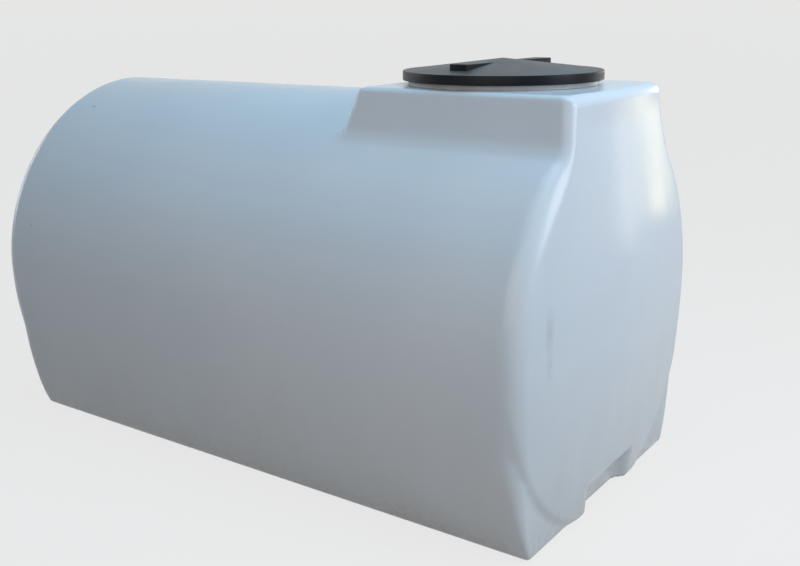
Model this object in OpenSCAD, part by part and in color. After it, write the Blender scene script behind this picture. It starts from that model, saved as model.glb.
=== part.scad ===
// Horizontal plastic cistern: an oval barrel on a flat foot, two dished ends
// and a raised turret at one end that carries the neck and the screw lid.
// X runs along the barrel with the turret towards +X, Z is up, and the origin
// is on the ground under the middle of the barrel. Pieces named right lie towards
// +Y, to the right of someone who faces the turret's end. All lengths are in mm.

/* [Barrel] */
// Length between the flat foot faces of the two ends
foot_len = 1980; // [1700:10:2600]
// Height of the roof's crown above the ground
body_h = 1150; // [1110:5:1200]
// Width at the widest level
body_w = 1144; // [1080:2:1200]
// Height of the widest level above the ground
waist_z = 545; // [500:1:600]
// Width across the flat foot at ground level
foot_w = 922; // [840:2:980]
// Fullness of the roof's arch, where 2 is an ellipse
arch_power = 1.9; // [1.8:0.05:2.3]
// Thickness of the moulded wall
wall = 10; // [6:1:14]
// Rounding between the sides and the foot's underside
foot_corner_r = 18; // [14:1:30]

/* [Ends] */
// Radius of the round dish that is pressed out of each end
dish_r = 586; // [550:2:600]
// Height of the dish's middle above the ground
dish_z = 540; // [510:2:570]
// Height of the step round the dish
dish_step = 7; // [4:1:16]
// Width of the sloping step round the dish
dish_edge = 24; // [12:1:40]
// How far the dish's middle stands out past its step
dish_depth = 34; // [20:1:90]
// Rounding where the barrel's arch turns into an end
end_round = 58; // [50:1:90]
// Rounding along the end's foot
foot_round = 15; // [15:1:23]
// Length of barrel that is moulded with each end
end_depth = 100; // [94:1:160]

/* [Outlet pocket] */
// Width of the pocket at its back wall
pocket_w = 228; // [120:2:260]
// Height of the pocket at its back wall
pocket_h = 57; // [40:1:90]
// Distance from the foot face in to the pocket's back wall
pocket_depth = 21; // [16:1:50]
// How much wider each side of the pocket is for each mm outwards
pocket_flare = 1; // [0.6:0.1:2.4]
// How much higher the pocket is for each mm outwards
pocket_rise = 1; // [0.2:0.1:1.5]

/* [Turret] */
// Height of the turret's deck above the crown
turret_rise = 30; // [26:1:60]
// Deck beside the lid, from its edge out to the turret's side wall
deck_side = 5; // [4:1:40]
// Deck in front of the lid, as far as the foot face
deck_front = 79; // [50:1:120]
// Deck behind the lid, as far as the rear wall
deck_back = 12; // [2:1:80]
// Lean of the turret's side walls
turret_draft = 9.5; // [4:0.5:10]
// Lean of the turret's rear wall
turret_back_lean = 19; // [10:1:30]
// Rounding of the deck's side and rear edges
turret_round = 20; // [18:1:30]
// Hollow rounding where the turret's sides meet the roof
turret_fillet = 44; // [20:1:50]
// How far the front of the deck bows out past the foot face
turret_bow = 14; // [0:1:20]

/* [Neck and lid] */
// Diameter of the lid
lid_d = 566; // [556:2:576]
// Height of the lid's rim
rim_h = 26; // [18:1:34]
// Gap between the deck and the underside of the rim
rim_gap = 14; // [8:1:20]
// Height of the lid's cone above its rim
cone_h = 32; // [26:1:60]
// Thickness of the lid
lid_t = 6; // [4:1:8]
// Clearance between the rim and the neck
neck_clear = 6; // [5:1:10]
// Thickness of the neck
neck_t = 12; // [8:1:20]
// Height of the grip blocks above the rim
grip_h = 24; // [16:1:40]
// Width of the grip blocks
grip_w = 58; // [40:1:90]
// Distance from the lid's middle out to the end of a grip block
grip_reach = 216; // [120:1:240]
// Turn of the grip blocks about the lid's middle
grip_turn = 86; // [0:1:180]
// Thickness of the gasket under the lid
gasket_t = 4; // [3:1:6]

/* [Hidden] */

// Clearance between pieces that lie on each other
seat = 0.3;
// Reach of a cutter past what it cuts
over = 60;

half_len = foot_len / 2;
half_w = body_w / 2;
half_foot = foot_w / 2;
arch_h = body_h - waist_z;
side_h = waist_z / sqrt(1 - pow(half_foot / half_w, 2));
joint_x = half_len - end_depth;
// Level where the sides end and the shoulders begin
side_z = waist_z + 210;
// The ends' rounding grows from the foot's to the arch's between these levels
round_low = 60;
round_high = 320;
deck_z = body_h + turret_rise;
deck_w = lid_d + 2 * deck_side;

// Colours of the moulding, the lid and its gasket
pale = [0.86, 0.89, 0.90];
dark = [0.10, 0.10, 0.11];
rubber = [0.05, 0.05, 0.05];

// ---- Outline of the barrel ---------------------------------------------------
// An outline point is [y, z, normal y, normal z, rounding into the end].

function unit(v) = v / norm(v);
function mix(a, b, s) = a + (b - a) * s;
function clamp01(v) = min(1, max(0, v));
function round_at(z) = mix(foot_round, end_round, clamp01((z - round_low) / (round_high - round_low)));

// Arch above the widest level: 0 at the side, 90 at the crown
function arch_point(t) =
    let (
        c = cos(t), s = sin(t), e = 2 / arch_power,
        y = half_w * pow(abs(c), e), z = arch_h * pow(abs(s), e),
        n = unit([pow(y / half_w, arch_power - 1) / half_w, pow(z / arch_h, arch_power - 1) / arch_h])
    ) [y, waist_z + z, n[0], n[1], round_at(waist_z + z)];
function arch_at_z(z) = asin(pow((z - waist_z) / arch_h, arch_power / 2));

// Side below the widest level: 0 at the widest level, downwards from there
function side_point(u) =
    let (
        n = unit([cos(u) / half_w, -sin(u) / side_h]),
        z = waist_z - side_h * sin(u)
    ) [half_w * cos(u), z, n[0], n[1], round_at(z)];
function settle(u, k) =
    k == 0 ? u : settle(asin((waist_z - foot_corner_r * (1 + side_point(u)[3])) / side_h), k - 1);
corner_u = settle(asin(waist_z / side_h), 6);
corner_end = side_point(corner_u);
corner_mid = [corner_end[0] - foot_corner_r * corner_end[2], foot_corner_r];

function turn_points(mid, r, a0, a1, steps, r0, r1, hollow = false) = [
    for (i = [1:steps])
        let (a = mix(a0, a1, i / steps), d = [cos(a), sin(a)], k = hollow ? -1 : 1)
        [mid[0] + r * d[0], mid[1] + r * d[1], k * d[0], k * d[1], mix(r0, r1, i / steps)]
];

floor_half = [for (i = [0:6]) [corner_mid[0] * i / 6, 0, 0, -1, foot_round]];
corner_half = turn_points(corner_mid, foot_corner_r, -90,
    atan2(corner_end[3], corner_end[2]), 3, foot_round, foot_round);
side_low = [for (i = [1:8]) side_point(corner_u * (1 - i / 8))];
function arch_run(t0, t1, steps) = [for (i = [0:steps]) arch_point(mix(t0, t1, i / steps))];

// ---- Outline of the turret ---------------------------------------------------

// The side walls lean in from the foot of the turret, where they meet the roof
function turret_side(z) = deck_w / 2 + (deck_z - z) * tan(turret_draft);
turret_base_z = arch_point(acos(pow(deck_w / 2 / half_w, arch_power / 2)))[1];
turret_drop = deck_z - turret_base_z;
turret_len = deck_front + lid_d + deck_back + turret_drop * tan(turret_back_lean);
function fillet_miss(t) =
    let (p = arch_point(t), c = [p[0] + turret_fillet * p[2], p[1] + turret_fillet * p[3]])
    c[0] - turret_side(c[1]) - turret_fillet / cos(turret_draft);
function fillet_root(a, b, k) =
    let (m = (a + b) / 2) k == 0 ? m : fillet_miss(m) > 0 ? fillet_root(m, b, k - 1) : fillet_root(a, m, k - 1);
fillet_t = fillet_root(20, 89, 24);
fillet_end = arch_point(fillet_t);
fillet_mid = [fillet_end[0] + turret_fillet * fillet_end[2], fillet_end[1] + turret_fillet * fillet_end[3]];
deck_mid_z = deck_z - turret_round;
deck_mid = [turret_side(deck_mid_z) - turret_round / cos(turret_draft), deck_mid_z];
// Rounding where the turret's sides and deck turn into its front
front_round = turret_round * 0.9;
fillet_turns = 4;
turret_half = concat(
    turn_points(fillet_mid, turret_fillet, 180 + atan2(fillet_end[3], fillet_end[2]),
        180 + turret_draft, fillet_turns, end_round, front_round, true),
    turn_points(deck_mid, turret_round, turret_draft, turret_draft, 1, front_round, front_round),
    turn_points(deck_mid, turret_round, turret_draft, 90, 4, front_round, front_round),
    [for (i = [3:-1:0]) [deck_mid[0] * i / 4, deck_z, 0, 1, front_round]]
);

low_half = concat(floor_half, corner_half, side_low);
shoulder_half = arch_run(0, fillet_t, 12);
crown_half = arch_run(fillet_t, 90, 6);
plain_half = concat(low_half, rest(shoulder_half), rest(crown_half));
turret_end_half = concat(low_half, rest(shoulder_half), turret_half);

function rest(list) = [for (i = [1:len(list) - 1]) list[i]];
function flip(p) = [-p[0], p[1], -p[2], p[3], p[4]];
function reversed(list) = [for (i = [len(list) - 1:-1:0]) list[i]];
// Both halves, anticlockwise from the middle of the foot
function whole(half) = concat(half, [for (i = [len(half) - 2:-1:1]) flip(half[i])]);
function inset(p, d) = [p[0] - d * p[2], p[1] - d * p[3]];
function band(list) = concat([for (p = list) inset(p, 0)], [for (p = reversed(list)) inset(p, wall)]);

module along_x(x0, x1) {
    translate([x0, 0, 0]) rotate([90, 0, 90]) linear_extrude(x1 - x0) children();
}

module along_y(w) {
    rotate([90, 0, 0]) linear_extrude(w, center = true) children();
}

// A strip of the barrel's wall between two lines along its length
module strip(list, x0 = -joint_x, x1 = joint_x) {
    along_x(x0, x1) polygon(band(list));
}

module floor() {
    half = concat(floor_half, corner_half);
    color(pale) strip(concat(reversed([for (p = rest(half)) flip(p)]), half));
}

side_half = concat([corner_half[len(corner_half) - 1]], side_low, rest(arch_run(0, arch_at_z(side_z), 4)));
upper_half = arch_run(arch_at_z(side_z), fillet_t, 8);

module right_side() {
    color(pale) strip(side_half);
}

module left_side() {
    color(pale) mirror([0, 1, 0]) strip(side_half);
}

module right_shoulder() {
    color(pale) strip(upper_half);
}

module left_shoulder() {
    color(pale) mirror([0, 1, 0]) strip(upper_half);
}

crown_list = concat(crown_half, reversed([for (i = [0:len(crown_half) - 2]) flip(crown_half[i])]));

// ---- Turret ------------------------------------------------------------------

back_x = half_len - turret_len;

// Everything in front of the turret's leaning rear wall, moved forwards by d
module ahead_of_rear(d = 0) {
    r = turret_round - d;
    foot = [back_x + d / cos(turret_back_lean), turret_base_z];
    slope = tan(turret_back_lean);
    top = deck_z - d;
    mid = [foot[0] + (top - r - foot[1]) * slope + r / cos(turret_back_lean), top - r];
    along_y(body_w) union() {
        polygon([
            [foot[0] - (foot[1] - waist_z) * slope, waist_z], [half_len + over, waist_z],
            [half_len + over, top], [mid[0], top], mid,
            [mid[0] - r * cos(turret_back_lean), mid[1] + r * sin(turret_back_lean)]
        ]);
        translate(mid) circle(r, $fn = 48);
    }
}

module crown() {
    color(pale) difference() {
        strip(crown_list, x1 = back_x + over * 2);
        ahead_of_rear();
    }
}

turret_list = concat([fillet_end], turret_half);
function both(list) = concat(list, reversed([for (i = [0:len(list) - 2]) flip(list[i])]));

module turret_shell() {
    cut = waist_z + arch_h / 2;
    difference() {
        intersection() {
            union() {
                strip(both(turret_list), x0 = back_x - over);
                strip(crown_list, x0 = back_x - over);
                along_x(back_x - over, back_x + over * 2) polygon(concat(
                    [for (p = both(turret_list)) inset(p, 0)], [for (p = reversed(crown_list)) inset(p, wall / 2)]
                ));
            }
            ahead_of_rear();
        }
        intersection() {
            along_x(back_x - over, joint_x + 1) polygon(concat(
                [for (p = both(turret_list)) inset(p, wall)],
                [[-deck_w / 2 + wall, cut], [deck_w / 2 - wall, cut]]
            ));
            ahead_of_rear(wall);
        }
        translate([lid_x, 0, deck_z - over]) cylinder(r = neck_r - neck_t, h = over * 2, $fn = 96);
    }
}

// Part of the turret's shell between two heights and two distances across
module turret_part(y0, y1, z0 = waist_z, z1 = deck_mid_z) {
    intersection() {
        turret_shell();
        translate([0, y0, z0]) cube([half_len, y1 - y0, z1 - z0]);
    }
}

rear_half = deck_mid[0] - wall;

module deck() {
    color(pale) turret_part(-half_w, half_w, deck_mid_z, deck_z + 1);
}

module turret_right() {
    color(pale) turret_part(rear_half, half_w);
}

module turret_left() {
    color(pale) mirror([0, 1, 0]) turret_part(rear_half, half_w);
}

module turret_back() {
    color(pale) turret_part(-rear_half, rear_half);
}

// ---- Ends --------------------------------------------------------------------

// Height above the dish's middle over which its outline fades out
dish_fade = dish_r / 4;
function dish_reach(y, z) = norm([y, z - dish_z]);
// The dish's outline shows round its lower half only: higher up it runs on to the end's edge
function dish(y, z) =
    let (
        reach = z > dish_z ? dish_reach(y, z) : min(dish_r, dish_reach(y, z)),
        step = max(clamp01((dish_r - reach) / dish_edge), clamp01((z - dish_z) / dish_fade))
    ) dish_step * step + dish_depth * (1 - pow(reach / dish_r, 2));
function bow(y, z) =
    turret_bow * max(0, 1 - pow(2 * y / deck_w, 2)) * clamp01((z - turret_base_z) / (deck_z - turret_base_z));
function face_x(y, z) = half_len + dish(y, z) + bow(y, z);

turns = 5;
rings = 5;
// Smallest distance between two rings of points
ring_gap = 3;

// Rings of points from the joint with the barrel round its edge, over the foot and
// the top of the dish's step and on to the middle of the dish
function end_rings(list, d) = concat(
    [[for (p = list) let (q = inset(p, d)) [joint_x, q[0], q[1]]]],
    [for (k = [0:turns]) [
        for (p = list)
            let (r = p[4] - d, a = 90 * k / turns, q = inset(p, d + r * (1 - cos(a))))
            [face_x(q[0], q[1]) - d - r * (1 - sin(a)), q[0], q[1]]
    ]],
    [for (k = [0:rings]) [
        for (p = list)
            let (
                e = inset(p, p[4]), edge = dish_reach(e[0], e[1]),
                foot = min(dish_r, edge - ring_gap), top = min(dish_r - dish_edge, foot - ring_gap),
                s = (k == 0 ? foot : top * (1 - (k - 1) / rings)) / edge,
                y = e[0] * s, z = mix(dish_z, e[1], s)
            )
            [face_x(y, z) - d, y, z]
    ]]
);
function join(lists) = [for (list = lists) each list];

module end_skin(list, shell) {
    n = len(list);
    rows = turns + rings + 3;
    outer = join(end_rings(list, 0));
    inner = join(end_rings(list, wall));
    m = rows * n;
    far = [[face_x(0, dish_z), 0, dish_z]];
    near = [[face_x(0, dish_z) - wall, 0, dish_z]];
    hub = [[joint_x, 0, dish_z]];
    points = shell ? concat(outer, far, inner, near) : concat(outer, far, hub);
    outside = [
        for (k = [0:rows - 2], i = [0:n - 1])
            let (j = (i + 1) % n, a = k * n)
            each [[a + i, a + n + i, a + n + j], [a + i, a + n + j, a + j]]
    ];
    cap = [for (i = [0:n - 1]) [(rows - 1) * n + i, m, (rows - 1) * n + (i + 1) % n]];
    shift = m + 1;
    inside = [for (f = concat(outside, cap)) [f[2] + shift, f[1] + shift, f[0] + shift]];
    lip = [for (i = [0:n - 1]) let (j = (i + 1) % n) each [[i, j, shift + j], [i, shift + j, shift + i]]];
    plug = [for (i = [0:n - 1]) [i, (i + 1) % n, m + 1]];
    polyhedron(points, shell ? concat(outside, cap, inside, lip) : concat(outside, cap, plug));
}

module pocket_form(grow = 0) {
    x0 = half_len - pocket_depth - grow;
    x1 = half_len + dish_step + dish_depth + over;
    reach = x1 - half_len + pocket_depth;
    low = -over;
    hull() for (e = [[x0, 0], [x1, reach]])
        translate([e[0], 0, 0]) along_x(0, 1) polygon([
            for (s = [-1, 1], t = [0, 1])
                let (top = pocket_h + grow + pocket_rise * e[1])
                [s * (pocket_w / 2 + grow + pocket_flare * e[1]), [[low, top], [top, low]][(s + 1) / 2][t]]
        ]);
}

module end(list) {
    difference() {
        end_skin(list, true);
        pocket_form(wall);
    }
}

// Everything above the level where the turret's front rises from the end, which lies
// a little above the hollow rounding
module above_shoulders() {
    level = turret_half[fillet_turns - 1][1] + turret_fillet * 0.6;
    translate([0, -body_w, level]) cube([foot_len, body_w * 2, body_h]);
}

// The pocket's wall ends flush with the skin of the end's foot
module pocket() {
    difference() {
        intersection() {
            pocket_form(wall - seat);
            end_skin(whole(concat(floor_half, corner_half, arch_run(0, 90, 3))), false);
        }
        pocket_form();
    }
}

module front_end() {
    color(pale) difference() {
        end(whole(turret_end_half));
        above_shoulders();
    }
}

module turret_front() {
    color(pale) intersection() {
        end_skin(whole(turret_end_half), true);
        above_shoulders();
    }
}

module back_end() {
    color(pale) mirror([1, 0, 0]) end(whole(plain_half));
}

module front_pocket() {
    color(pale) pocket();
}

module back_pocket() {
    color(pale) mirror([1, 0, 0]) pocket();
}

// ---- Neck and lid ------------------------------------------------------------

lid_r = lid_d / 2;
lid_x = half_len - deck_front - lid_r;
rim_t = lid_t + 2;
neck_r = lid_r - rim_t - neck_clear;
rim_z = deck_z + rim_gap;
rim_top = rim_z + rim_h;
cone_z = rim_top + cone_h;
neck_top = rim_top - lid_t - gasket_t;

module neck() {
    color(pale) translate([lid_x, 0, deck_z]) rotate_extrude($fn = 96)
        translate([neck_r - neck_t, 0]) square([neck_t, neck_top - deck_z]);
}

module lid_gasket() {
    color(rubber) translate([lid_x, 0, neck_top + seat]) rotate_extrude($fn = 96)
        translate([neck_r - neck_t, 0]) square([neck_t + neck_clear / 2, gasket_t - seat]);
}

module lid() {
    seat_in = neck_r - neck_t - lid_t;
    tip_r = 14;
    step = 2;
    color(dark) translate([lid_x, 0, 0]) union() {
        rotate_extrude($fn = 96) polygon([
            [0, cone_z], [tip_r, cone_z - step], [lid_r - rim_t, rim_top], [lid_r - step, rim_top],
            [lid_r, rim_top - step], [lid_r, rim_z], [lid_r - rim_t, rim_z],
            [lid_r - rim_t, rim_top - lid_t], [seat_in, rim_top - lid_t],
            [tip_r, cone_z - step - lid_t], [0, cone_z - lid_t]
        ]);
        for (a = [0, 180]) rotate([0, 0, a + grip_turn])
            translate([0, 0, rim_top]) linear_extrude(grip_h) polygon([
                [grip_reach, -grip_w / 2], [grip_reach, grip_w / 2],
                [grip_reach / 3, grip_w / 3], [grip_reach / 3, -grip_w / 3]
            ]);
    }
}

floor();
left_side();
right_side();
left_shoulder();
right_shoulder();
crown();
front_end();
back_end();
front_pocket();
back_pocket();
turret_front();
turret_left();
turret_right();
turret_back();
deck();
neck();
lid();
lid_gasket();
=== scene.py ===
"""Looks of the horizontal plastic cistern: one moulded skin, the neck, the lid and their finishes."""

from math import cos, pi, radians, sin, tan

import bmesh
import bpy
import numpy as np
from mathutils import Matrix, Vector


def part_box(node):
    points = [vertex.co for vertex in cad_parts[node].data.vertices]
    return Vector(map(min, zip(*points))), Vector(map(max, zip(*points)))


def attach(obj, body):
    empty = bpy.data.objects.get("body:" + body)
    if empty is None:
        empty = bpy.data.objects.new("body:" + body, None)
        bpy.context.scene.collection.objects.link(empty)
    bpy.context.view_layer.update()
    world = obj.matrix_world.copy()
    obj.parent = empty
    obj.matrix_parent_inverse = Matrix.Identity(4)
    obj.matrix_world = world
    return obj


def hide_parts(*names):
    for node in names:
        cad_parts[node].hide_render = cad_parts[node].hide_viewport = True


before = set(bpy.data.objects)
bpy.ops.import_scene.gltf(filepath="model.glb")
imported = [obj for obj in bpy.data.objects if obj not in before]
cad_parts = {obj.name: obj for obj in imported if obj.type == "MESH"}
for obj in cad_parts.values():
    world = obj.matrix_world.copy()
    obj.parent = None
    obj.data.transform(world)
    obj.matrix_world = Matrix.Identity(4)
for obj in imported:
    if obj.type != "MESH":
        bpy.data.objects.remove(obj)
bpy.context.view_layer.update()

# ---- Sizes, in metres --------------------------------------------------------
# Outer sizes are measured on the frame's nodes.
half_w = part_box("right_side")[1].y
crown_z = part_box("crown")[1].z
deck_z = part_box("deck")[1].z
end_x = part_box("front_end")[1].x
lid_low, lid_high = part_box("lid")
lid_x = (lid_low.x + lid_high.x) / 2
lid_r = (lid_high.x - lid_low.x) / 2
neck_low, neck_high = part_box("neck")
neck_r = (neck_high.x - neck_low.x) / 2
neck_top = neck_high.z
rim_z = lid_low.z
cone_z = lid_high.z

# The barrel and the roundings where it meets the ends
WALL = 0.010
WAIST_Z = 0.545
HALF_FOOT = 0.461
ARCH_POWER = 1.9
FOOT_CORNER_R = 0.018
FOOT_ROUND = 0.015
END_ROUND = 0.058
ROUND_LOW, ROUND_HIGH = 0.06, 0.32

# The dish that stands out of each end
DISH_R = 0.586
DISH_Z = 0.540
DISH_STEP = 0.007
DISH_EDGE = 0.024
DISH_DEPTH = 0.034
half_len = end_x - DISH_STEP - DISH_DEPTH

# The pocket at the foot of each end
POCKET_HALF = 0.114
POCKET_H = 0.057
POCKET_DEPTH = 0.021
POCKET_FLARE = 1.0
POCKET_RISE = 1.0
POCKET_ROUND = 0.010

# The turret under the lid
DECK_HALF = 0.288
DECK_BACK = 0.012
TURRET_DRAFT = radians(9.5)
TURRET_LEAN = radians(19)
TURRET_ROUND = 0.014
FRONT_ROUND = 0.030
TURRET_FILLET = 0.020
TURRET_BOW = 0.014
turret_back = lid_x - lid_r - DECK_BACK
# The front end's rounding changes to the turret's between these levels
FLARE_LOW, FLARE_HIGH = 0.93, 1.08
# The turret reaches down to here inside the barrel
TURRET_ROOT = 0.70

# The neck and its screw thread. NECK_ROOT is how far the neck reaches below the deck's wall.
# THREAD_TURNS and THREAD_FADE are counted in turns.
NECK_WALL = 0.012
NECK_ROOT = 0.002
NECK_SKIRT = 0.004
LIP_INNER_ROUND = 0.004
LIP_OUTER_ROUND = 0.003
NECK_FOOT_ROUND = 0.0035
THREAD_OUT = 0.0028
THREAD_HALF = 0.0032
THREAD_PITCH = 0.010
THREAD_TURNS = 1.6
THREAD_START = 0.006
THREAD_FADE = 0.12
# Levels of points on the neck's wall that carry the thread, from the lip down
LEVELS_START = 0.005
LEVEL_STEP = 0.0008
LEVELS = 24

# The lid: its rim, its hollow cone and the two grips
RIM_H = 0.026
RIM_T = 0.008
LID_T = 0.006
TIP_R = 0.004
CAP_ROUND = 0.0035
RIM_ROUND = 0.0015
rim_top = rim_z + RIM_H
GRIP_W = 0.058
GRIP_REACH = 0.216
GRIP_H = 0.024
GRIP_BEVEL = 0.003
GRIP_SINK = 0.7
GRIP_TURN = radians(86)

# Grid steps of the tank's mesh, outside and inside, and the room that the grid leaves round it
OUTER_STEP = 0.0125
INNER_STEP = 0.024
GRID_MARGIN = 0.03
# For gradients: half the distance between two samples, and the least squared size that is divided by
SLOPE_STEP = 0.0005
LEAST_SLOPE = 0.05
# How often the points are settled on the surface and evened along it
SETTLE_ROUNDS = 4
EVEN_ROUNDS = 3


# ---- The tank as a distance function -----------------------------------------

def soft_max(a, b, r):
    """The larger of two distances, with their crossing rounded to radius r."""
    u = np.maximum(a + r, 0)
    v = np.maximum(b + r, 0)
    return np.minimum(np.maximum(a, b), -r) + np.hypot(u, v)


def soft_min(a, b, r):
    """The smaller of two distances, with their crossing rounded to radius r."""
    return -soft_max(-a, -b, r)


def ramp(v, low, high):
    """Rises smoothly from 0 at low to 1 at high."""
    s = np.clip((v - low) / (high - low), 0, 1)
    return s * s * (3 - 2 * s)


def barrel(y, z):
    """Cross-section: an arch over the widest level, an ellipse below it and a flat foot."""
    rise = z - WAIST_Z
    side_h = WAIST_Z / np.sqrt(1 - (HALF_FOOT / half_w) ** 2)
    power = np.where(rise > 0, ARCH_POWER, 2)
    reach = np.where(rise > 0, crown_z - WAIST_Z, side_h)
    u = np.maximum(np.abs(y) / half_w, 1e-6)
    v = np.maximum(np.abs(rise) / reach, 1e-6)
    g = (u**power + v**power) ** (1 / power)
    slope = np.hypot((u / g) ** (power - 1) / half_w, (v / g) ** (power - 1) / reach)
    return soft_max((g - 1) / slope, -z, FOOT_CORNER_R)


def dish(y, z):
    """How far an end stands out past its foot face.

    The outline of the dish shows round its lower half only.
    """
    reach = np.hypot(y, z - DISH_Z)
    reach = np.where(z > DISH_Z, reach, np.minimum(reach, DISH_R))
    below = 1 - ramp(reach, DISH_R - DISH_EDGE, DISH_R)
    above = ramp(z, DISH_Z, DISH_Z + DISH_R / 4)
    step = np.maximum(below, above)
    return DISH_STEP * step + DISH_DEPTH * (1 - (reach / DISH_R) ** 2)


def turret(x, y, z):
    """The raised block, drafted at its sides and leaning at its back."""
    drop = deck_z - z
    side = (np.abs(y) - DECK_HALF - drop * tan(TURRET_DRAFT)) * cos(TURRET_DRAFT)
    back = (turret_back - drop * tan(TURRET_LEAN) - x) * cos(TURRET_LEAN)
    walls = soft_max(soft_max(side, back, TURRET_ROUND), -drop, TURRET_ROUND)
    return np.maximum(walls, TURRET_ROOT - z)


def pocket(x, y, z):
    """The room cut out of each end's foot, which flares outwards."""
    out = np.abs(x) - (half_len - POCKET_DEPTH)
    wide = np.abs(y) - POCKET_HALF - POCKET_FLARE * np.maximum(out, 0)
    high = z - POCKET_H - POCKET_RISE * np.maximum(out, 0)
    return soft_max(soft_max(-out, wide, POCKET_ROUND), high, POCKET_ROUND)


def tank(x, y, z):
    """Signed distance to the outside of the tank, negative inside it."""
    tube = soft_min(barrel(y, z), turret(x, y, z), TURRET_FILLET)
    front = x > 0
    bow = TURRET_BOW * np.clip(1 - (y / DECK_HALF) ** 2, 0, 1) * ramp(z, FLARE_HIGH, deck_z) * front
    face = np.abs(x) - half_len - dish(y, z) - bow
    growth = np.clip((z - ROUND_LOW) / (ROUND_HIGH - ROUND_LOW), 0, 1)
    edge = FOOT_ROUND + (END_ROUND - FOOT_ROUND) * growth
    edge = edge + (FRONT_ROUND - edge) * ramp(z, FLARE_LOW, FLARE_HIGH) * front
    return soft_max(soft_max(tube, face, edge), -pocket(x, y, z), POCKET_ROUND)


def tank_inside(x, y, z):
    """Signed distance to the inner face of the tank's wall."""
    return tank(x, y, z) + WALL


def slope_of(distance, p):
    """Gradient of a distance function at many points."""
    columns = []
    for axis in np.eye(3) * SLOPE_STEP:
        columns.append((distance(*(p + axis).T) - distance(*(p - axis).T)) / (2 * SLOPE_STEP))
    return np.stack(columns, 1)


def settle(distance, p, rounds=SETTLE_ROUNDS):
    """Moves points along the gradient onto the zero surface."""
    for _ in range(rounds):
        g = slope_of(distance, p)
        size = np.maximum((g * g).sum(1), LEAST_SLOPE)
        p = p - g * (distance(*p.T) / size)[:, None]
    return p


def net(distance, low, high, step):
    """Quad mesh over the zero surface, with one point in each grid cell that it crosses."""
    axes = [np.arange(a, b + step, step) for a, b in zip(low, high)]
    inside = distance(*np.meshgrid(*axes, indexing="ij")) < 0
    count = np.zeros([n - 1 for n in inside.shape], int)
    for i in (0, 1):
        for j in (0, 1):
            for k in (0, 1):
                nx, ny, nz = count.shape
                count += inside[i:i + nx, j:j + ny, k:k + nz]
    crossed = (count > 0) & (count < 8)
    index = np.full(crossed.shape, -1)
    index[crossed] = np.arange(crossed.sum())
    cells = np.argwhere(crossed)
    points = np.stack([axes[a][cells[:, a]] + step / 2 for a in range(3)], 1)
    faces = []
    for a in range(3):
        b, c = (a + 1) % 3, (a + 2) % 3
        turned = np.moveaxis(inside, (a, b, c), (0, 1, 2))
        cell_of = np.moveaxis(index, (a, b, c), (0, 1, 2))
        near = turned[:-1, 1:-1, 1:-1]
        change = near != turned[1:, 1:-1, 1:-1]
        i, j, k = np.nonzero(change)
        around = (0, 0), (1, 0), (1, 1), (0, 1)
        quads = np.stack([cell_of[i, j + dj, k + dk] for dj, dk in around], 1)
        outward = near[i, j, k]
        quads[~outward] = quads[~outward][:, ::-1]
        faces.append(quads)
    faces = np.concatenate(faces)
    return even_out(distance, settle(distance, points), faces)


def even_out(distance, points, faces):
    """Evens the spacing of a net's points along its surface."""
    for _ in range(EVEN_ROUNDS):
        total = np.zeros_like(points)
        share = np.zeros(len(points))
        middle = points[faces].mean(1)
        for a in range(4):
            np.add.at(total, faces[:, a], middle)
            np.add.at(share, faces[:, a], 1)
        points = settle(distance, (points + total / share[:, None]) / 2, 2)
    return points, faces


# ---- The moulded skin --------------------------------------------------------

def open_neck(points, faces, level, r):
    """Cuts a round hole in the deck and sets the points of its rim on a circle."""
    middle = points[faces].mean(1)
    near = np.hypot(middle[:, 0] - lid_x, middle[:, 1]) < r
    faces = faces[~(near & (middle[:, 2] > crown_z))]
    used, faces = np.unique(faces, return_inverse=True)
    points = points[used]
    faces = faces.reshape(-1, 4)
    edges = np.sort(np.concatenate([faces[:, [a, (a + 1) % 4]] for a in range(4)]), 1)
    edges, times = np.unique(edges, axis=0, return_counts=True)
    rim = np.unique(edges[times == 1])
    away = points[rim, :2] - [lid_x, 0]
    turn = np.arctan2(away[:, 1], away[:, 0])
    points[rim] = np.stack([lid_x + r * np.cos(turn), r * np.sin(turn), np.full(len(rim), level)], 1)
    return points, faces, rim[np.argsort(turn)], np.sort(turn)


def bridge(rim_a, turn_a, rim_b, turn_b):
    """Triangles between two rings of points that are sorted by their angle."""
    na, nb = len(rim_a), len(rim_b)
    tris = []
    i = j = 0
    while i < na or j < nb:
        next_a = turn_a[(i + 1) % na] + 2 * pi * ((i + 1) // na)
        next_b = turn_b[(j + 1) % nb] + 2 * pi * ((j + 1) // nb)
        if j == nb or (i < na and next_a <= next_b):
            tris.append((rim_a[i % na], rim_a[(i + 1) % na], rim_b[j % nb]))
            i += 1
        else:
            tris.append((rim_a[i % na], rim_b[(j + 1) % nb], rim_b[j % nb]))
            j += 1
    return tris


def add_mesh(name, points, faces):
    """A new object from points and faces."""
    mesh = bpy.data.meshes.new(name)
    mesh.from_pydata([tuple(p) for p in points], [], faces)
    mesh.update()
    piece = bpy.data.objects.new(name, mesh)
    bpy.context.scene.collection.objects.link(piece)
    return piece


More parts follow.
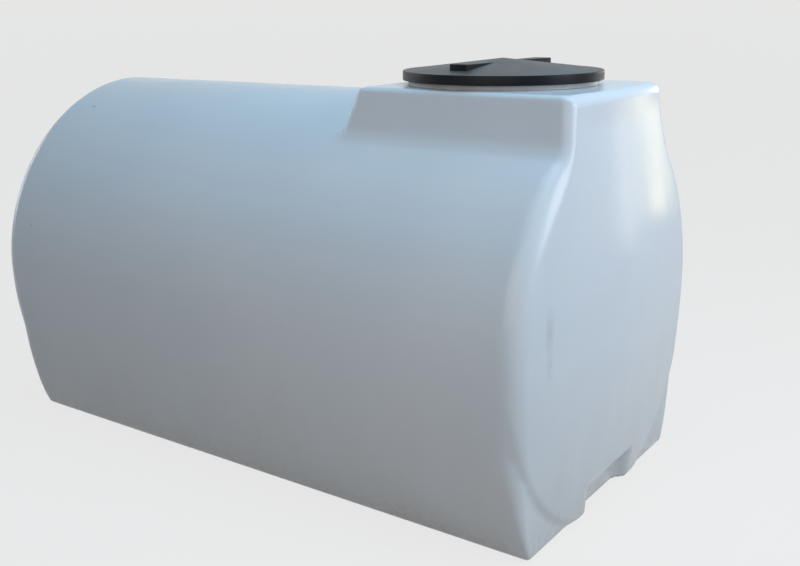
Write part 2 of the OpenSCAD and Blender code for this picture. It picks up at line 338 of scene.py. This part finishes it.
def make_skin():
    """The tank with its inner wall as one surface, joined round the hole in the deck."""
    low = (-end_x - GRID_MARGIN, -half_w - GRID_MARGIN, -GRID_MARGIN)
    high = (end_x + GRID_MARGIN, half_w + GRID_MARGIN, deck_z + GRID_MARGIN)
    hole_r = neck_r - NECK_WALL / 2
    outer, outer_faces = net(tank, low, high, OUTER_STEP)
    inner, inner_faces = net(tank_inside, low, high, INNER_STEP)
    outer, outer_faces, rim_a, turn_a = open_neck(outer, outer_faces, deck_z, hole_r)
    inner, inner_faces, rim_b, turn_b = open_neck(inner, inner_faces, deck_z - WALL, hole_r)
    normals = np.concatenate([slope_of(tank, outer), -slope_of(tank_inside, inner)])
    normals /= np.maximum(np.linalg.norm(normals, axis=1), 1e-9)[:, None]
    shift = len(outer)
    faces = outer_faces.tolist() + (inner_faces[:, ::-1] + shift).tolist()
    faces += bridge(rim_a, turn_a, rim_b + shift, turn_b)
    skin = add_mesh("tank_skin", np.concatenate([outer, inner]), faces)
    skin.data.shade_smooth()
    skin.data.normals_split_custom_set_from_vertices(normals.tolist())
    return skin


# ---- The neck ----------------------------------------------------------------

def soften(path, steps=5):
    """Rounds the corners of a path, whose points are (radius from the axis, height, rounding)."""
    soft = []
    for i, (x, z, r) in enumerate(path):
        corner = Vector((x, z))
        if r == 0:
            soft.append((x, z))
            continue
        to_a = (Vector(path[i - 1][:2]) - corner).normalized()
        to_b = (Vector(path[(i + 1) % len(path)][:2]) - corner).normalized()
        half = to_a.angle(to_b) / 2
        start = corner + to_a * r / tan(half)
        end = corner + to_b * r / tan(half)
        middle = corner + (to_a + to_b).normalized() * r / sin(half)
        for k in range(steps + 1):
            arm = (start - middle).lerp(end - middle, k / steps)
            soft.append(tuple(middle + arm.normalized() * r))
    return soft


def thread_at(z, turn):
    """How far the neck's thread stands out at a height and an angle."""
    out = np.zeros_like(z * turn)
    for lap in range(3):
        along = turn / (2 * pi) + lap
        fade_out = ramp(along, THREAD_TURNS - THREAD_FADE, THREAD_TURNS)
        ends = ramp(along, 0, THREAD_FADE) * (1 - fade_out)
        gap = np.abs(z - deck_z - THREAD_START - THREAD_PITCH * along) / THREAD_HALF
        out = np.maximum(out, THREAD_OUT * ends * (1 - ramp(gap, 0.25, 1)))
    return out


def make_neck(steps=192):
    """A turned ring that grows out of the deck, with a screw thread round its outside."""
    thread_r = neck_r - THREAD_OUT
    bore_r = neck_r - NECK_WALL
    root_z = deck_z - WALL - NECK_ROOT
    path = [
        (bore_r, root_z, 0),
        (bore_r, neck_top, LIP_INNER_ROUND),
        (thread_r, neck_top, LIP_OUTER_ROUND),
    ]
    path += [(thread_r, neck_top - LEVELS_START - LEVEL_STEP * k, 0) for k in range(1, LEVELS + 1)]
    path += [
        (thread_r, deck_z + 0.0002, NECK_FOOT_ROUND),
        (neck_r + NECK_SKIRT, deck_z - 0.0002, 0),
        (neck_r + 0.003, deck_z - 0.003, 0),
        (neck_r - NECK_WALL / 2, root_z, 0),
    ]
    profile = np.array(soften(path))
    turn = np.linspace(0, 2 * pi, steps, endpoint=False)
    z = profile[:, 1][None, :]
    outer = np.isclose(profile[:, 0], thread_r, atol=1e-5)[None, :]
    r = profile[:, 0][None, :] + thread_at(z, turn[:, None]) * outer
    points = np.stack([lid_x + r * np.cos(turn)[:, None], r * np.sin(turn)[:, None], z + 0 * r], 2)
    n = len(profile)
    faces = []
    for i in range(steps):
        for k in range(n):
            a, b = i * n, (i + 1) % steps * n
            faces.append((a + k, a + (k + 1) % n, b + (k + 1) % n, b + k))
    ring = add_mesh("neck_ring", points.reshape(-1, 3), faces)
    face_outwards(ring)
    return ring


def face_outwards(piece):
    """Turns a closed piece's faces outwards and shades it smooth up to its sharp edges."""
    shape = bmesh.new()
    shape.from_mesh(piece.data)
    bmesh.ops.recalc_face_normals(shape, faces=shape.faces)
    shape.to_mesh(piece.data)
    shape.free()
    piece.data.shade_smooth()
    piece.data.set_sharp_from_angle(angle=radians(38))


# ---- The lid -----------------------------------------------------------------

def cone_at(r):
    """Height of the lid's cone at a radius."""
    return rim_top + (cone_z - rim_top) * (1 - min(1, r / (lid_r - RIM_T)))


def add_cap(shape, steps=160):
    """The lid's turned shell: a rounded rim and a shallow hollow cone."""
    path = [
        (TIP_R, cone_z - 0.0002, 0),
        (lid_r - RIM_T - 0.004, rim_top + 0.0005, 0.03),
        (lid_r, rim_top, CAP_ROUND),
        (lid_r, rim_z, RIM_ROUND),
        (lid_r - RIM_T, rim_z, RIM_ROUND),
        (lid_r - RIM_T, rim_top - LID_T, 0.002),
        (neck_r - NECK_WALL - LID_T, rim_top - LID_T, 0.012),
        (TIP_R, cone_z - LID_T, 0),
    ]
    profile = soften(path)
    rings = []
    for i in range(steps):
        turn = 2 * pi * i / steps
        rings.append([shape.verts.new((lid_x + r * cos(turn), r * sin(turn), z)) for r, z in profile])
    for i in range(steps):
        a, b = rings[i], rings[(i + 1) % steps]
        for k in range(len(profile) - 1):
            shape.faces.new((a[k], a[k + 1], b[k + 1], b[k]))
    shape.faces.new([ring[0] for ring in rings])
    shape.faces.new([ring[-1] for ring in reversed(rings)])


def add_grip(shape, turn):
    """A level-topped block that grows out of the cone and ends in a flat face."""
    corners = []
    for r, half in ((GRIP_REACH / 3, GRIP_W / 3), (GRIP_REACH, GRIP_W / 2)):
        for side in (-half, half):
            x = lid_x + r * cos(turn) - side * sin(turn)
            y = r * sin(turn) + side * cos(turn)
            low = cone_at(Vector((r, side)).length) - LID_T * GRIP_SINK
            high = rim_top + GRIP_H
            corners.append((shape.verts.new((x, y, low)), shape.verts.new((x, y, high))))
    ring = [corners[0], corners[2], corners[3], corners[1]]
    shape.faces.new([low for low, _ in reversed(ring)])
    top = shape.faces.new([high for _, high in ring])
    for (low_a, high_a), (low_b, high_b) in zip(ring, ring[1:] + ring[:1]):
        shape.faces.new((low_a, low_b, high_b, high_a))
    edges = set(top.edges)
    for low, high in corners[2:]:
        edges |= {edge for edge in high.link_edges if low in edge.verts}
    bmesh.ops.bevel(shape, geom=list(edges), offset=GRIP_BEVEL, segments=3, profile=0.5, affect="EDGES")


def make_lid():
    """The cap and its two grips in one mesh."""
    shape = bmesh.new()
    add_cap(shape)
    for turn in (GRIP_TURN, GRIP_TURN + pi):
        add_grip(shape, turn)
    bmesh.ops.recalc_face_normals(shape, faces=shape.faces)
    lid = add_mesh("screw_lid", [], [])
    shape.to_mesh(lid.data)
    shape.free()
    lid.data.shade_smooth()
    lid.data.set_sharp_from_angle(angle=radians(35))
    return lid


# ---- Materials ---------------------------------------------------------------

# Colours. Those named A and B are mixed in soft patches.
MILKY_A = (0.665, 0.735, 0.795, 1)
MILKY_B = (0.700, 0.760, 0.808, 1)
# Grey that the skin turns towards the ground
LOW_GREY = (0.62, 0.62, 0.60, 1)
SPLASH = (0.44, 0.41, 0.37, 1)
GRIME = (0.16, 0.17, 0.18, 1)
# Painted shade: the neck's plastic darkened for the shade under the lid's rim
NECK_SHADE_A = (0.36, 0.375, 0.39, 1)
NECK_SHADE_B = (0.46, 0.48, 0.50, 1)
BLACK_A = (0.004, 0.005, 0.007, 1)
BLACK_B = (0.009, 0.010, 0.012, 1)
# Dust on the lid with a painted bluish sheen of the sky, on its upward faces
LID_DUST_AND_SHEEN_A = (0.155, 0.150, 0.148, 1)
LID_DUST_AND_SHEEN_B = (0.110, 0.140, 0.160, 1)
RUBBER_A = (0.020, 0.020, 0.020, 1)
RUBBER_B = (0.032, 0.031, 0.030, 1)

# Each range stays on one side of about 0.3: a surface that crosses it shows a sharp contour there
SKIN_ROUGHNESS = (0.15, 0.23)
NECK_ROUGHNESS = (0.35, 0.5)
LID_ROUGHNESS = (0.36, 0.48)
RUBBER_ROUGHNESS = (0.62, 0.75)

# How high the greying towards the ground and the splashes reach up the tank
GREYING_Z = 0.55
SPLASH_Z = 0.10

# Depths of the unevenness of the moulded skin
WAVE_DEPTH = 0.010
RIPPLE_DEPTH = 0.0012
PEEL_DEPTH = 0.0003

# Dirt on the tank: middle, half sizes, strength
MARKS = [
    # Rub marks on the front end
    ((1.013, -0.428, 0.625), (0.05, 0.026, 0.075), 0.24),
    ((1.014, -0.424, 0.535), (0.05, 0.022, 0.060), 0.16),
    # Specks near the back end
    ((-0.835, -0.268, 1.070), (0.009, 0.007, 0.008), 0.85),
    ((-0.860, -0.550, 0.699), (0.006, 0.006, 0.006), 0.45),
]

# Socket numbers of the colour mix node, whose socket names repeat
MIX_FACTOR, MIX_A, MIX_B, MIX_RESULT = 0, 6, 7, 2


class Nodes:
    """Short way to add and link the nodes of one material."""

    def __init__(self, name):
        self.material = bpy.data.materials.new(name)
        self.material.use_nodes = True
        self.tree = self.material.node_tree
        self.shader = self.tree.nodes["Principled BSDF"]
        self.place = self.add("ShaderNodeTexCoord").outputs["Object"]

    def add(self, kind, links=(), **settings):
        node = self.tree.nodes.new(kind)
        for key, value in settings.items():
            setattr(node, key, value)
        for socket, value in dict(links).items():
            if isinstance(value, bpy.types.NodeSocket):
                self.tree.links.new(value, node.inputs[socket])
            else:
                node.inputs[socket].default_value = value
        return node

    def noise(self, scale, detail, stretch=(1, 1, 1)):
        place = self.add("ShaderNodeMapping", {"Vector": self.place, "Scale": stretch}).outputs[0]
        links = {"Vector": place, "Scale": scale, "Detail": detail}
        return self.add("ShaderNodeTexNoise", links).outputs[0]

    def span(self, value, low, high, to_low, to_high):
        """Maps a value from one range to another and holds it at the ends."""
        links = {0: value, 1: low, 2: high, 3: to_low, 4: to_high}
        return self.add("ShaderNodeMapRange", links).outputs[0]

    def mix(self, factor, a, b):
        links = {MIX_FACTOR: factor, MIX_A: a, MIX_B: b}
        return self.add("ShaderNodeMix", links, data_type="RGBA").outputs[MIX_RESULT]

    def times(self, a, b):
        return self.add("ShaderNodeMath", {0: a, 1: b}, operation="MULTIPLY").outputs[0]

    def bump(self, height, distance, strength, normal=None):
        links = {"Height": height, "Distance": distance, "Strength": strength}
        if normal is not None:
            links["Normal"] = normal
        return self.add("ShaderNodeBump", links).outputs[0]

    def link(self, value, socket):
        self.tree.links.new(value, self.shader.inputs[socket])

    def set(self, **values):
        for key, value in values.items():
            self.shader.inputs[key.replace("_", " ")].default_value = value


def spot(m, middle, size, soft=0.1):
    """One inside a soft oval round a point, fading to none at its edge."""
    place = m.add("ShaderNodeMapping", {
        "Vector": m.place,
        "Location": [-c / s for c, s in zip(middle, size)],
        "Scale": [1 / s for s in size],
    }).outputs[0]
    reach = m.add("ShaderNodeVectorMath", {0: place}, operation="LENGTH").outputs["Value"]
    return m.span(reach, soft, 1.0, 1.0, 0.0)


def polyethylene():
    """Milky plastic that turns greyer and darker in streaks towards the ground."""
    m = Nodes("natural_polyethylene")
    m.set(IOR=1.5, Specular_IOR_Level=0.3)
    m.set(Subsurface_Weight=0.12, Subsurface_Radius=(0.03, 0.03, 0.035), Subsurface_Scale=0.3)
    tone = m.mix(m.span(m.noise(2.2, 4), 0.35, 0.65, 0, 1), MILKY_A, MILKY_B)

    height = m.add("ShaderNodeSeparateXYZ", {0: m.place}).outputs["Z"]
    # Greyer and darker in streaks towards the ground
    low = m.span(height, 0.0, GREYING_Z, 1.0, 0.0)
    streaks = m.span(m.noise(9, 6, (1, 1, 0.25)), 0.25, 0.8, 0.2, 0.8)
    tone = m.mix(m.times(low, streaks), tone, LOW_GREY)
    lowest = m.span(height, 0.0, SPLASH_Z, 0.4, 0.0)
    splash = m.times(lowest, m.span(m.noise(55, 5), 0.45, 0.7, 0, 1))
    tone = m.mix(splash, tone, SPLASH)
    for middle, size, strength in MARKS:
        broken = m.span(m.noise(120, 4), 0.3, 0.6, 0.4 * strength, strength)
        tone = m.mix(m.times(spot(m, middle, size), broken), tone, GRIME)
    m.link(tone, "Base Color")
    m.link(m.span(m.noise(6, 4), 0.3, 0.7, *SKIN_ROUGHNESS), "Roughness")

    waves = m.bump(m.noise(2.6, 1), WAVE_DEPTH, 0.5)
    ripples = m.bump(m.noise(13, 2, (1, 1, 0.4)), RIPPLE_DEPTH, 0.5, waves)
    m.link(m.bump(m.noise(160, 2), PEEL_DEPTH, 0.25, ripples), "Normal")
    return m.material


def shaded_neck():
    """The same plastic, darkened with painted shade for the gap under the lid."""
    m = Nodes("polyethylene_painted_shade")
    m.set(IOR=1.5)
    # A dark base colour paints the shade under the lid's rim
    m.link(m.mix(m.span(m.noise(24, 4), 0.3, 0.7, 0, 1), NECK_SHADE_A, NECK_SHADE_B), "Base Color")
    m.link(m.span(m.noise(30, 3), 0.3, 0.7, *NECK_ROUGHNESS), "Roughness")
    m.link(m.bump(m.noise(160, 2), PEEL_DEPTH, 0.3), "Normal")
    return m.material


def black_plastic():
    """Black moulding with pale dust and a painted sheen of the sky where it faces up."""
    m = Nodes("black_moulded_plastic")
    m.set(IOR=1.46, Specular_IOR_Level=0.16)
    tone = m.mix(m.span(m.noise(14, 5), 0.3, 0.7, 0, 1), BLACK_A, BLACK_B)
    # Upward faces lightened: real dust and a painted sheen of the sky
    facing = m.add("ShaderNodeNewGeometry").outputs["Normal"]
    upward = m.add("ShaderNodeSeparateXYZ", {0: facing}).outputs["Z"]
    patches = m.span(m.noise(11, 6), 0.3, 0.7, 0.3, 0.85)
    dust_and_sheen_share = m.times(m.span(upward, 0.6, 1.0, 0, 1), patches)
    dust_and_sheen = m.mix(m.span(m.noise(5, 3), 0.35, 0.65, 0, 1), LID_DUST_AND_SHEEN_A, LID_DUST_AND_SHEEN_B)
    m.link(m.mix(dust_and_sheen_share, tone, dust_and_sheen), "Base Color")
    m.link(m.span(dust_and_sheen_share, 0.0, 1.0, *LID_ROUGHNESS), "Roughness")
    m.link(m.bump(m.noise(420, 2), 0.0003, 0.4), "Normal")
    return m.material


def black_rubber():
    """The gasket's finish."""
    m = Nodes("black_rubber")
    m.link(m.mix(m.noise(40, 3), RUBBER_A, RUBBER_B), "Base Color")
    m.link(m.span(m.noise(60, 3), 0.3, 0.7, *RUBBER_ROUGHNESS), "Roughness")
    m.link(m.bump(m.noise(700, 2), 0.0002, 0.5), "Normal")
    return m.material


def finish_with(piece, material):
    piece.data.materials.clear()
    piece.data.materials.append(material)


# ---- Camera, floor and light -------------------------------------------------

# The photograph's viewing angle, and how far right of the origin and above it the camera looks
LENS = 45.13
AZIMUTH, ELEVATION, ROLL = radians(35.17), radians(15.38), radians(-0.56)
DISTANCE = 3.507
AIM_RIGHT, AIM_UP = 0.217, 0.479

# PALE is the background beyond the floor, and FLOOR_WHITE is set so that the two meet unseen
PALE = (0.79, 0.79, 0.785, 1)
FLOOR_WHITE = 0.76
FLOOR_COLOUR = (0.42, 0.385, 0.36, 1)
FLOOR_HALF = 300
HORIZON = (0.06, 0.08, 0.10, 1)
ZENITH = (0.14, 0.21, 0.27, 1)

# Name, place, aim, size, watts, colour
TANK_MIDDLE = (0.2, 0, 0.6)
LAMPS = [
    ("end_light", (5.0, 0.4, 2.6), TANK_MIDDLE, (3.0, 2.6), 46, (0.70, 0.93, 1)),
    ("near_light", (2.9, 0.3, 1.8), (1.0, 0, 1.1), (1.2, 1.2), 18.5, (1, 0.90, 0.98)),
    ("side_fill", (1.5, -3.6, 2.0), (0.6, 0, 0.7), (3.0, 2.2), 37, (1, 0.84, 0.75)),
    ("top_light", (1.2, 0.0, 4.2), TANK_MIDDLE, (3.0, 3.0), 72, (0.43, 0.76, 1)),
]
# The same for the two strips that show as the streak on the front end
STRIPS = [
    ("warm_strip", (1.85, 3.03, 0.76), (1.01, 0.18, 0.76), (0.16, 0.88), 2.6, (1, 0.86, 0.44)),
    ("pale_strip", (2.18, 2.76, 0.64), (1.01, 0.0, 0.64), (0.10, 0.90), 1.0, (1, 0.92, 0.84)),
]

# Name, direction towards the light, spread in degrees, strength
GLOWS = [
    ("far_glow", (0.02, 1, 0.04), 20, 0.36),
    ("back_glow", (-1, -0.06, 0.16), 30, 0.42),
]
GLOW_COLOUR = (0.92, 0.96, 1)


def make_camera():
    """The camera at the photograph's viewing angle."""
    back = Vector((sin(AZIMUTH) * cos(ELEVATION), -cos(AZIMUTH) * cos(ELEVATION), sin(ELEVATION)))
    right = Vector((cos(AZIMUTH), sin(AZIMUTH), 0))
    up = back.cross(right)
    turned_right = right * cos(ROLL) + up * sin(ROLL)
    turned_up = up * cos(ROLL) - right * sin(ROLL)
    camera = bpy.data.objects.new("camera", bpy.data.cameras.new("camera"))
    bpy.context.scene.collection.objects.link(camera)
    camera.data.lens = LENS
    rows = Matrix((turned_right, turned_up, back)).transposed().to_4x4()
    place = back * DISTANCE + right * AIM_RIGHT + up * AIM_UP
    camera.matrix_world = Matrix.Translation(place) @ rows
    bpy.context.scene.camera = camera


def background_rays(tree):
    """One for the rays that show the background: camera, glossy and transmission rays."""
    path = tree.nodes.new("ShaderNodeLightPath")
    total = path.outputs["Is Camera Ray"]
    for name in ("Is Glossy Ray", "Is Transmission Ray"):
        either = tree.nodes.new("ShaderNodeMath")
        either.operation = "MAXIMUM"
        tree.links.new(total, either.inputs[0])
        tree.links.new(path.outputs[name], either.inputs[1])
        total = either.outputs[0]
    return total


def show_by_ray(tree, share, lit, pale, output):
    """Gives the output the lit shader, and the pale one in the share of the rays that is given."""
    mix = tree.nodes.new("ShaderNodeMixShader")
    tree.links.new(share, mix.inputs[0])
    tree.links.new(lit.outputs[0], mix.inputs[1])
    tree.links.new(pale.outputs[0], mix.inputs[2])
    tree.links.new(mix.outputs[0], tree.nodes[output].inputs["Surface"])


def make_floor(r=FLOOR_HALF):
    """A plain pale floor that keeps the object's shadow."""
    floor = add_mesh("floor_stage", [(-r, -r, 0), (r, -r, 0), (r, r, 0), (-r, r, 0)], [(0, 1, 2, 3)])
    material = bpy.data.materials.new("pale_floor")
    material.use_nodes = True
    tree = material.node_tree
    shader = tree.nodes["Principled BSDF"]
    shader.inputs["Base Color"].default_value = FLOOR_COLOUR
    shader.inputs["Roughness"].default_value = 0.9
    shader.inputs["Specular IOR Level"].default_value = 0.1
    share = tree.nodes.new("ShaderNodeMath")
    share.operation = "MULTIPLY"
    share.inputs[1].default_value = FLOOR_WHITE
    tree.links.new(background_rays(tree), share.inputs[0])
    white = tree.nodes.new("ShaderNodeEmission")
    show_by_ray(tree, share.outputs[0], shader, white, "Material Output")
    finish_with(floor, material)


def make_world():
    """A dim sky lights the object, and the pale background is what the camera and the gloss see."""
    world = bpy.data.worlds.new("studio")
    bpy.context.scene.world = world
    world.use_nodes = True
    tree = world.node_tree
    sky = tree.nodes["Background"]
    place = tree.nodes.new("ShaderNodeTexCoord")
    height = tree.nodes.new("ShaderNodeSeparateXYZ")
    tree.links.new(place.outputs["Generated"], height.inputs[0])
    tone = tree.nodes.new("ShaderNodeMix")
    tone.data_type = "RGBA"
    tone.inputs[MIX_A].default_value = HORIZON
    tone.inputs[MIX_B].default_value = ZENITH
    tree.links.new(height.outputs["Z"], tone.inputs[MIX_FACTOR])
    tree.links.new(tone.outputs[MIX_RESULT], sky.inputs["Color"])
    white = tree.nodes.new("ShaderNodeBackground")
    white.inputs["Color"].default_value = PALE
    show_by_ray(tree, background_rays(tree), sky, white, "World Output")


def make_lamp(name, place, aim, size, power, colour):
    """A soft rectangular lamp that looks at a point."""
    lamp = bpy.data.objects.new(name, bpy.data.lights.new(name, "AREA"))
    bpy.context.scene.collection.objects.link(lamp)
    lamp.data.shape = "RECTANGLE"
    lamp.data.size, lamp.data.size_y = size
    lamp.data.energy = power
    lamp.data.color = colour
    lamp.location = place
    lamp.rotation_mode = "QUATERNION"
    lamp.rotation_quaternion = (Vector(aim) - Vector(place)).to_track_quat("-Z", "Y")


def make_glow(name, side, spread, strength):
    """Wide soft light from far away on one side, which leaves no edge on the floor."""
    lamp = bpy.data.objects.new(name, bpy.data.lights.new(name, "SUN"))
    bpy.context.scene.collection.objects.link(lamp)
    lamp.data.angle = radians(spread)
    lamp.data.energy = strength
    lamp.data.color = GLOW_COLOUR
    lamp.rotation_mode = "QUATERNION"
    lamp.rotation_quaternion = Vector(side).to_track_quat("Z", "Y")


# ---- Assembly ----------------------------------------------------------------

# The solids that the moulded skin takes the place of
SHELL_NODES = [
    "floor", "left_side", "right_side", "left_shoulder", "right_shoulder", "crown",
    "front_end", "back_end", "front_pocket", "back_pocket",
    "turret_front", "turret_left", "turret_right", "turret_back", "deck",
]

bpy.context.scene.view_settings.view_transform = "Standard"
make_camera()
make_world()
make_floor()
for lamp in LAMPS:
    make_lamp(*lamp)
for glow in GLOWS:
    make_glow(*glow)
for strip in STRIPS:
    make_lamp(*strip)

skin = make_skin()
finish_with(skin, polyethylene())
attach(skin, "tank")
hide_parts(*SHELL_NODES)

neck = make_neck()
finish_with(neck, shaded_neck())
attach(neck, "tank")
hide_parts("neck")

lid = make_lid()
finish_with(lid, black_plastic())
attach(lid, "lid")
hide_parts("lid")

finish_with(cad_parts["lid_gasket"], black_rubber())
